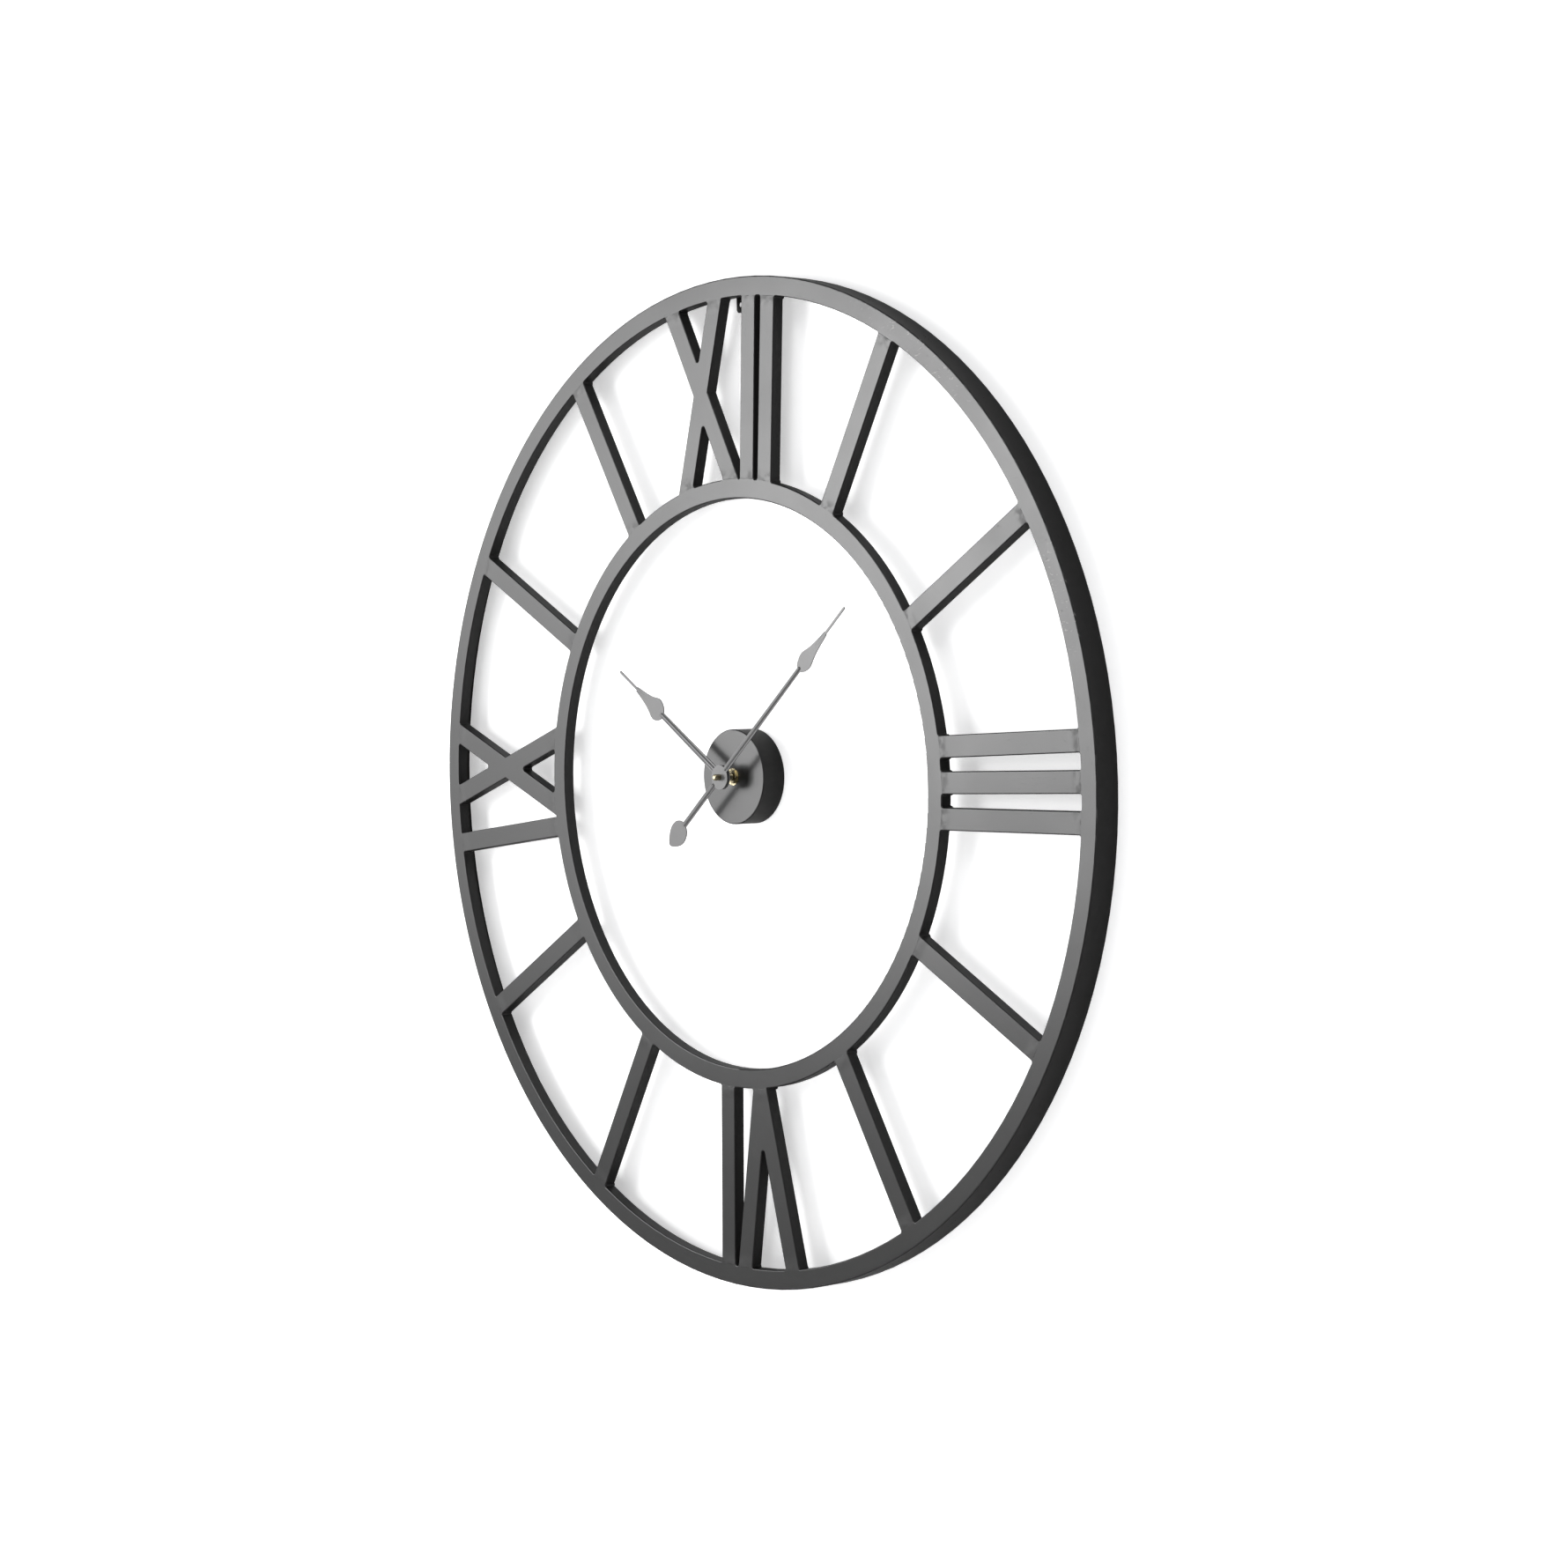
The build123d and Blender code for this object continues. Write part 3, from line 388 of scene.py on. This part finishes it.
def battery_sleeve():
    sleeve = Finish("battery_sleeve", Coat_Roughness=0.1)
    along = sleeve.coordinate("X")
    film = sleeve.step(along, SLEEVE_LEFT, SLEEVE_LEFT + 0.1 * MM)
    film = film * sleeve.step(along, SLEEVE_RIGHT, SLEEVE_RIGHT + 0.1 * MM, 1.0, 0.0)
    shoulder = sleeve.step(along, SHOULDER, SHOULDER + 0.2 * MM)
    line = sleeve.step(abs(along - LINE_MIDDLE), LINE_HALF, LINE_HALF + 0.05 * MM, 1.0, 0.0)
    wrinkle = sleeve.noise(SLEEVE_WRINKLE, 3.0, 0.5, (0.2, 1, 1))
    shade = sleeve.mix(line, sleeve.mix(shoulder, SLEEVE_BLACK, SLEEVE_COPPER), SLEEVE_LINE)
    shade = sleeve.mix(film, NICKEL, shade)
    printed = sleeve.mix(shoulder, rgb(0.1, 0.1, 0.1), rgb(0.8, 0.8, 0.8))
    sleeve.feed(Base_Color=shade, Metallic=sleeve.mix(film, rgb(1, 1, 1), printed),
                Roughness=0.22 + wrinkle * 0.12, Coat_Weight=film * 0.4,
                Normal=sleeve.bump(wrinkle, WRINKLE_DEPTH))
    return sleeve.material


battery_film = battery_sleeve()
print("battery", battery_film.name, "cell", round((CELL_RIGHT - CELL_LEFT) / MM, 1), "mm long")

# %% [markdown]
# Every solid in the frame gets its finish by name, so that nothing is left with the plain
# colour it arrived in.

# %% Give each piece its finish
FINISHES = {
    drum_paint: ["drum_can"],
    ring_paint: ["outer_ring_tube", "inner_ring_tube", "outer_hoop", "ring_hanger_tab"],
    hand_paint: ["hour_hand", "minute_hand"],
    brass: ["threaded_bushing", "brass_washer", "hex_nut", "cap_nut", "hour_hand_collet",
            "minute_hand_collet"],
    case_plastic: ["movement_case_back", "movement_case_front", "setting_knob"],
    chip_resin: ["chip_cover"],
    acetal: ["centre_wheel", "third_wheel", "fourth_wheel", "fifth_wheel", "hour_wheel", "motion_wheel"],
    steel: ["minute_arbor", "rotor_pinion", "stator", "quartz_crystal", "battery_contact_plus",
            "battery_contact_minus"],
    magnet: ["rotor_magnet"],
    copper: ["coil_winding"],
    board_lacquer: ["circuit_board"],
    rubber: ["rubber_washer"],
    battery_film: ["battery_cell"],
    bar_paint: BARS,
}
finished = set()
for material, names in FINISHES.items():
    for name in names:
        for slot in nodes[name].material_slots:
            slot.material = material
        finished.add(name)
print("finished", len(finished), "of", len(nodes), "missing", sorted(set(nodes) - finished))

# %% [markdown]
# ## Building a node tree
# Two kinds of piece repeat by a rule, the weld beads and the wound wire, so Geometry Nodes
# makes them. Both trees are built with the same three helpers: one starts a tree with its named
# sizes, one adds a node, and one runs a tree on a mesh and keeps the result as a plain mesh.


# %% Helpers for trees
def tree_with(name, sizes):
    """An empty node tree with a geometry input, named sizes and a material."""
    tree = bpy.data.node_groups.new(name, "GeometryNodeTree")
    tree.interface.new_socket("Geometry", in_out="INPUT", socket_type="NodeSocketGeometry")
    for label, (kind, value) in sizes.items():
        socket = tree.interface.new_socket(label, in_out="INPUT", socket_type="NodeSocket" + kind)
        socket.default_value = value
    tree.interface.new_socket("Material", in_out="INPUT", socket_type="NodeSocketMaterial")
    tree.interface.new_socket("Geometry", in_out="OUTPUT", socket_type="NodeSocketGeometry")
    return tree


def grow(tree, kind, settings=(), **sockets):
    """Add one node to a tree; an underscore in a socket's name stands for a space."""
    made = tree.nodes.new(kind)
    for name, value in dict(settings).items():
        setattr(made, name, value)
    for name, value in sockets.items():
        socket = made.inputs[name.replace("_", " ")]
        if isinstance(value, bpy.types.NodeSocket):
            tree.links.new(value, socket)
        else:
            socket.default_value = value
    return made


def made_by(tree, name, start, material, **sizes):
    """Run a tree on a mesh and keep the result as a plain mesh object."""
    helper = bpy.data.objects.new(name + "_path", start)
    bpy.context.scene.collection.objects.link(helper)
    modifier = helper.modifiers.new("tree", "NODES")
    modifier.node_group = tree
    values = {label.replace("_", " "): value for label, value in sizes.items()}
    values["Material"] = material
    for item in tree.interface.items_tree:
        if item.in_out == "INPUT" and item.name in values:
            modifier[item.identifier] = values[item.name]
    graph = bpy.context.evaluated_depsgraph_get()
    mesh = bpy.data.meshes.new_from_object(helper.evaluated_get(graph), depsgraph=graph)
    bpy.data.objects.remove(helper)
    piece = bpy.data.objects.new(name, mesh)
    bpy.context.scene.collection.objects.link(piece)
    if not mesh.materials:
        mesh.materials.append(material)
    print(name, len(mesh.polygons), "faces")
    return piece


print("node trees so far", len(bpy.data.node_groups))

# %% [markdown]
# ## Weld beads
# From the front the joints are ground flush, but behind, the beads are left as they were laid.
# Each bar has one across its back at either end, and the ring tube is tacked to the hoop about
# every nine centimetres. A bead is a row of small overlapping puddles, which is just what
# Geometry Nodes repeats well: the tree takes the lines where the torch went, drops points along them at
# one spacing, and puts a flattened puddle at each, turned along its line and a little uneven.

# %% A tree that lays weld beads
SMALLEST, LARGEST, PUDDLE_STRETCH = 0.82, 1.12, 1.35      # of a puddle, against its radius


def bead_tree():
    sizes = {"Spacing": ("Float", 2.4 * MM), "Puddle Radius": ("Float", 2.2 * MM),
             "Flatness": ("Float", 0.5), "Seed": ("Int", 4)}
    tree = tree_with("weld_bead", sizes)
    given = grow(tree, "NodeGroupInput").outputs
    path = grow(tree, "GeometryNodeMeshToCurve", Mesh=given["Geometry"])
    points = grow(tree, "GeometryNodeCurveToPoints", {"mode": "LENGTH"}, Curve=path.outputs[0],
                  Length=given["Spacing"])
    puddle = grow(tree, "GeometryNodeMeshUVSphere", Segments=10, Rings=6, Radius=given["Puddle Radius"])
    smooth = grow(tree, "GeometryNodeSetShadeSmooth", Geometry=puddle.outputs["Mesh"])
    size = grow(tree, "FunctionNodeRandomValue", {"data_type": "FLOAT"}, Min=SMALLEST, Max=LARGEST,
                Seed=given["Seed"])
    flat = grow(tree, "ShaderNodeCombineXYZ", X=1.0, Y=given["Flatness"], Z=PUDDLE_STRETCH)
    scale = grow(tree, "ShaderNodeVectorMath", {"operation": "SCALE"}, Vector=flat.outputs[0],
                 Scale=size.outputs[1])
    along = grow(tree, "FunctionNodeAlignEulerToVector", {"axis": "X", "pivot_axis": "Y"},
                 Vector=points.outputs["Tangent"])
    beads = grow(tree, "GeometryNodeInstanceOnPoints", Points=points.outputs["Points"],
                 Instance=smooth.outputs[0], Rotation=along.outputs[0], Scale=scale.outputs[0])
    solid = grow(tree, "GeometryNodeRealizeInstances", Geometry=beads.outputs[0])
    painted_over = grow(tree, "GeometryNodeSetMaterial", Geometry=solid.outputs[0],
                        Material=given["Material"])
    grow(tree, "NodeGroupOutput", Geometry=painted_over.outputs[0])
    return tree


weld_tree = bead_tree()
print("bead tree", len(weld_tree.nodes), "nodes")

# %% [markdown]
# The torch's lines are found on the solids themselves. A bar's end is where its corners lie on
# a ring's edge, so its bead runs between the outermost two of those corners. It is laid on the
# back face, and stays clear of the wall.

# %% Lay the beads behind the bars
BEAD_SINK, JOINT_REACH, TRIM = 0.4 * MM, 3.0 * MM, 0.12


def on_ring(radius, turn):
    """A point on the back of a ring, a little above the metal."""
    return Vector((radius * cos(turn), TUBE_BACK + BEAD_SINK, radius * sin(turn)))


def bar_end_line(name, joint):
    """The two ends of the bead across a bar's back, where it meets a ring."""
    back = [v.co for v in nodes[name].data.vertices if abs(v.co.y - TUBE_BACK) < 0.1 * MM]
    ends = [p for p in back if abs(hypot(p.x, p.z) - joint) < JOINT_REACH]
    if len(ends) < 2:
        return None
    middle = atan2(sum(p.z for p in ends), sum(p.x for p in ends))
    turns = [(atan2(p.z, p.x) - middle + pi) % (2 * pi) - pi for p in ends]
    low, high = min(turns), max(turns)
    margin = TRIM * (high - low)
    return [on_ring(joint, middle + turn) for turn in (low + margin, high - margin)]


def line_mesh(name, lines):
    points = [point for line in lines for point in line]
    edges, start = [], 0
    for line in lines:
        edges += [(start + step, start + step + 1) for step in range(len(line) - 1)]
        start += len(line)
    mesh = bpy.data.meshes.new(name)
    mesh.from_pydata(points, edges, [])
    return mesh


bar_lines = [bar_end_line(name, joint) for name in BARS for joint in (OUTER_JOINT, INNER_JOINT)]
bar_lines = [line for line in bar_lines if line]
bar_beads = made_by(weld_tree, "bar_weld_beads", line_mesh("bar_welds", bar_lines), weld_metal)
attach(bar_beads, "ring_frame")
print("beads behind the bars", len(bar_lines))

# %% [markdown]
# The hoop is thin strip, so the ring tube is only tacked to it: short beads in the corner
# between the two, evenly spaced, with gaps so that the strip doesn't pull out of round.

# %% Tack the hoop to the ring tube
TACKS, TACK_LENGTH, HOOP_THICKNESS, CORNER = 36, 15 * MM, 1.5 * MM, 1.0 * MM
TACK_SHARES = (-0.5, -0.17, 0.17, 0.5)
tack_radius = RIM_RADIUS - HOOP_THICKNESS - CORNER
tack_lines = []
for tack in range(TACKS):
    middle = 2 * pi * (tack + 0.5) / TACKS
    turns = [middle + share * TACK_LENGTH / tack_radius for share in TACK_SHARES]
    tack_lines.append([on_ring(tack_radius, turn) for turn in turns])
hoop_tacks = made_by(weld_tree, "hoop_tack_welds", line_mesh("tacks", tack_lines), weld_metal, Seed=9,
                     Puddle_Radius=1.9 * MM)
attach(hoop_tacks, "ring_frame")

# %% [markdown]
# ## Wire
# The coil and the battery spring are both wire wound on a spiral: the same turns and rise, with
# one radius at each end. So one tree makes both. The coil is stretched a little in one
# direction, because its bobbin is taller than it is wide.

# %% A tree that winds wire
def wire_tree():
    sizes = {"Turns": ("Float", 10.0), "Start Radius": ("Float", 3 * MM),
             "End Radius": ("Float", 3 * MM), "Rise": ("Float", 10 * MM),
             "Wire Radius": ("Float", 0.1 * MM), "Points a Turn": ("Int", 24), "Stretch": ("Float", 1.0)}
    tree = tree_with("wound_wire", sizes)
    given = grow(tree, "NodeGroupInput").outputs
    spiral = grow(tree, "GeometryNodeCurveSpiral", Resolution=given["Points a Turn"],
                  Rotations=given["Turns"], Start_Radius=given["Start Radius"],
                  End_Radius=given["End Radius"], Height=given["Rise"])
    shape = grow(tree, "ShaderNodeCombineXYZ", X=1.0, Y=given["Stretch"], Z=1.0)
    pulled = grow(tree, "GeometryNodeTransform", Geometry=spiral.outputs[0], Scale=shape.outputs[0])
    section = grow(tree, "GeometryNodeCurvePrimitiveCircle", Resolution=7, Radius=given["Wire Radius"])
    wire = grow(tree, "GeometryNodeCurveToMesh", Curve=pulled.outputs[0],
                Profile_Curve=section.outputs["Curve"], Fill_Caps=True)
    smooth = grow(tree, "GeometryNodeSetShadeSmooth", Geometry=wire.outputs[0])
    solid = grow(tree, "GeometryNodeRealizeInstances", Geometry=smooth.outputs[0])
    finished_wire = grow(tree, "GeometryNodeSetMaterial", Geometry=solid.outputs[0],
                         Material=given["Material"])
    grow(tree, "NodeGroupOutput", Geometry=finished_wire.outputs[0])
    return tree


def wound(name, box, axis_turn, material, **sizes):
    """Wind wire and set it inside a box, its axis turned to lie along X."""
    piece = made_by(winding_tree, name, bpy.data.meshes.new(name + "_start"), material, **sizes)
    start = Vector((box[0][0], (box[0][1] + box[1][1]) / 2, (box[0][2] + box[1][2]) / 2))
    piece.data.transform(Matrix.Translation(start) @ Matrix.Rotation(axis_turn, 4, "Y"))
    return piece


winding_tree = wire_tree()
coil_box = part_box("coil_winding")
COIL_WIRE, COIL_TURNS = 0.16 * MM, 50
coil_half_height = (coil_box[1][2] - coil_box[0][2]) / 2 - COIL_WIRE
coil_half_depth = (coil_box[1][1] - coil_box[0][1]) / 2 - COIL_WIRE
coil = wound("coil_winding_wire", coil_box, pi / 2, copper, Turns=COIL_TURNS, Start_Radius=coil_half_height,
             End_Radius=coil_half_height, Rise=coil_box[1][0] - coil_box[0][0], Wire_Radius=COIL_WIRE,
             Stretch=coil_half_depth / coil_half_height)
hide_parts("coil_winding")
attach(coil, "drum")
print("coil turns", COIL_TURNS)

# %% [markdown]
# The negative contact is a thin plate with a conical spring that presses the cell against the
# other end. The plate is a bevelled sheet, and the spring is joined to it, so that the two are
# one pressing as on the real part.

# %% Spring contact
contact_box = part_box("battery_contact_minus")
PLATE_THICKNESS, PLATE_EDGE, SPRING_WIRE, SPRING_TURNS = 0.4 * MM, 0.1 * MM, 0.22 * MM, 3.0
SPRING_FOOT, SPRING_TIP = 3.4 * MM, 1.6 * MM


def plate_with_spring():
    low, high = Vector(contact_box[0]), Vector(contact_box[1])
    high.x = low.x + PLATE_THICKNESS
    corners = [(x, y, z) for x in (low.x, high.x) for y in (low.y, high.y) for z in (low.z, high.z)]
    sides = [(0, 1, 3, 2), (4, 6, 7, 5), (0, 4, 5, 1), (2, 3, 7, 6), (0, 2, 6, 4), (1, 5, 7, 3)]
    mesh = bpy.data.meshes.new("contact_plate")
    mesh.from_pydata(corners, [], sides)
    mesh.materials.append(steel)
    plate = bpy.data.objects.new("battery_spring_contact", mesh)
    bpy.context.scene.collection.objects.link(plate)
    edge = plate.modifiers.new("edge", "BEVEL")
    edge.width, edge.segments = PLATE_EDGE, 2
    rise = contact_box[1][0] - high.x - SPRING_WIRE
    room = [[high.x, low.y, low.z], [high.x + rise, high.y, high.z]]
    spring = wound("spring", room, pi / 2, steel, Turns=SPRING_TURNS, Start_Radius=SPRING_FOOT,
                   End_Radius=SPRING_TIP, Rise=rise, Wire_Radius=SPRING_WIRE)
    graph = bpy.context.evaluated_depsgraph_get()
    solid = bpy.data.meshes.new_from_object(plate.evaluated_get(graph), depsgraph=graph)
    plate.modifiers.clear()
    plate.data = solid
    with bpy.context.temp_override(active_object=plate, selected_editable_objects=[plate, spring]):
        bpy.ops.object.join()
    return plate


contact = plate_with_spring()
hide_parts("battery_contact_minus")
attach(contact, "drum")
print("contact faces", len(contact.data.polygons))

# %% [markdown]
# ## Stage
# The clock hangs on a pale wall that runs down to a pale floor in one sweep. The wall is only
# there from the front: from behind it lets both the view and the light through, so that the
# back of the clock can be looked at too. It glows a little, like a backdrop lit from behind,
# which keeps the shadows light, and it is dim in reflections, so that the black side walls
# stay black as they do in a dark room. It is a backdrop and no part of the clock.

# %% Wall and floor
WALL_GAP, FLOOR_DROP, SWEEP, SWEEP_STEPS = 0.6 * MM, 0.62, 0.45, 12
WIDE, TALL, DEEP = 4.5, 2.6, 5.0
WALL_GLOW, WALL_MIRRORED, PLASTER_CLOUD = 0.45, rgb(0.30, 0.30, 0.30), 0.5


def backdrop():
    floor = -RIM_RADIUS - FLOOR_DROP
    profile = [(WALL_GAP, TALL)]
    for step in range(SWEEP_STEPS + 1):
        turn = radians(90 * step / SWEEP_STEPS)
        profile.append((WALL_GAP - SWEEP * (1 - cos(turn)), floor + SWEEP * (1 - sin(turn))))
    profile.append((-DEEP, floor))
    points = [(x, y, z) for y, z in profile for x in (-WIDE, WIDE)]
    faces = [(2 * k, 2 * k + 2, 2 * k + 3, 2 * k + 1) for k in range(len(profile) - 1)]
    mesh = bpy.data.meshes.new("wall_and_floor")
    mesh.from_pydata(points, [], faces)
    mesh.shade_smooth()
    wall = bpy.data.objects.new("wall_and_floor", mesh)
    bpy.context.scene.collection.objects.link(wall)
    return wall


def plaster():
    chalk = Finish("pale_plaster", Roughness=0.85)
    cloud = chalk.noise(PLASTER_CLOUD, 3.0)
    chalk.feed(Base_Color=chalk.mix(cloud, rgb(0.86, 0.86, 0.855), rgb(0.89, 0.89, 0.89)))
    chalk.shader.inputs["Emission Color"].default_value = rgb(1, 1, 1)
    chalk.shader.inputs["Emission Strength"].default_value = WALL_GLOW
    behind = chalk.node("NewGeometry", output="Backfacing")
    shadow = chalk.node("LightPath", output="Is Shadow Ray")
    mirrored = chalk.node("LightPath", output="Is Glossy Ray")
    dim = chalk.node("BsdfDiffuse", {}, {"Color": WALL_MIRRORED})
    lit = chalk.node("MixShader", {}, {0: mirrored, 1: Value(chalk, chalk.shader.outputs[0]), 2: dim})
    clear = chalk.node("BsdfTransparent")
    chosen = chalk.node("MixShader", {}, {0: chalk.maths("MAXIMUM", behind, shadow), 1: lit, 2: clear})
    chalk.link(chosen, chalk.tree.nodes["Material Output"].inputs["Surface"])
    return chalk.material


wall = backdrop()
wall.data.materials.append(plaster())
print("backdrop", len(wall.data.polygons), "faces, first faces", round(wall.data.polygons[0].normal.y, 2))

# %% [markdown]
# ## Light
# Satin black paint shows almost nothing but what it mirrors. The flat faces turn the view from
# the right towards the left, so what they show is a tall window on that side: bright above,
# dim near the floor. The window is a grid of panes, each with its own brightness, and the
# paint's roughness blends them. A soft light above fills the wall and lays short shadows
# under the bars, and a dim one behind serves the views from the back.

# %% Studio light
WINDOW_MIDDLE, WINDOW_TURN = Vector((-2.30, -1.94, -0.05)), radians(-49.8)
PANE_WIDTH = 1.15
ROOM_COLOUR, ROOM_GLOW = rgb(0.95, 0.96, 1.0), 0.30
PANE_ROWS = [(0.30, 1.15), (-0.35, 0.30), (-1.35, -0.35)]      # lowest and highest edge of each row
PANE_BRIGHTNESS = [(3.6, 12.0), (1.9, 8.2), (0.5, 0.8)]        # far and near pane of each row


def panel(name, place, aim, width, height, brightness):
    """An even rectangle of light: its radiance times pi times its area is its power."""
    lamp = bpy.data.lights.new(name, "AREA")
    lamp.shape, lamp.size, lamp.size_y = "RECTANGLE", width, height
    lamp.energy = brightness * pi * width * height
    light = bpy.data.objects.new(name, lamp)
    light.rotation_euler = (aim - place).to_track_quat("-Z", "Y").to_euler()
    light.location = place
    bpy.context.scene.collection.objects.link(light)
    return light


towards = Vector((cos(WINDOW_TURN + pi / 2), sin(WINDOW_TURN + pi / 2), 0))
across = Vector((towards.y, -towards.x, 0))
for row, ((low, high), pair) in enumerate(zip(PANE_ROWS, PANE_BRIGHTNESS)):
    for column, brightness in enumerate(pair):
        place = WINDOW_MIDDLE + across * (column - 0.5) * PANE_WIDTH + Vector((0, 0, (low + high) / 2))
        panel("pane_%d_%d" % (row, column), place, place + towards, PANE_WIDTH, high - low, brightness)
panel("soft_top", Vector((0.9, -1.9, 2.6)), Vector((0.3, 0, 0)), width=2.4, height=1.6, brightness=2.6)
panel("back_fill", Vector((-1.6, 2.8, 1.2)), Vector((0, 0, 0)), width=2.5, height=2.5, brightness=1.6)
room = bpy.data.worlds.new("soft_room")
room.use_nodes = True
room_light = room.node_tree.nodes["Background"].inputs
room_light["Color"].default_value, room_light["Strength"].default_value = ROOM_COLOUR, ROOM_GLOW
bpy.context.scene.world = room
bpy.context.scene.view_settings.view_transform = "Standard"
print("window faces", [round(x, 3) for x in towards], "panes", 2 * len(PANE_ROWS))

# %% [markdown]
# ## Camera
# The view is level with the dial and well round to its right, with a long lens from more than
# three metres away, so that the rings read as narrow ellipses. The two directions below are
# the view and its right-hand side, and the third follows from them.

# %% Camera
CAMERA_PLACE = Vector((2.5823, -2.1373, 0.0553))
VIEW, RIGHT = Vector((-0.7641, 0.6448, -0.0169)).normalized(), Vector((0.6450, 0.7636, -0.0264))
SENSOR_WIDTH, FOCAL_LENGTH = 36.0, 72.09      # in millimetres, as lenses are sold
NEAREST, FURTHEST = 0.05, 50.0

lens = bpy.data.cameras.new("camera")
lens.sensor_width, lens.lens = SENSOR_WIDTH, FOCAL_LENGTH
lens.clip_start, lens.clip_end = NEAREST, FURTHEST
camera = bpy.data.objects.new("camera", lens)
right = (RIGHT - VIEW * RIGHT.dot(VIEW)).normalized()
up = right.cross(VIEW)
turned = Matrix((right, up, -VIEW)).transposed().to_4x4()
camera.matrix_world = Matrix.Translation(CAMERA_PLACE) @ turned
bpy.context.scene.collection.objects.link(camera)
bpy.context.scene.camera = camera
print("camera", [round(x, 3) for x in camera.location], "up", [round(x, 3) for x in up])

# %% [markdown]
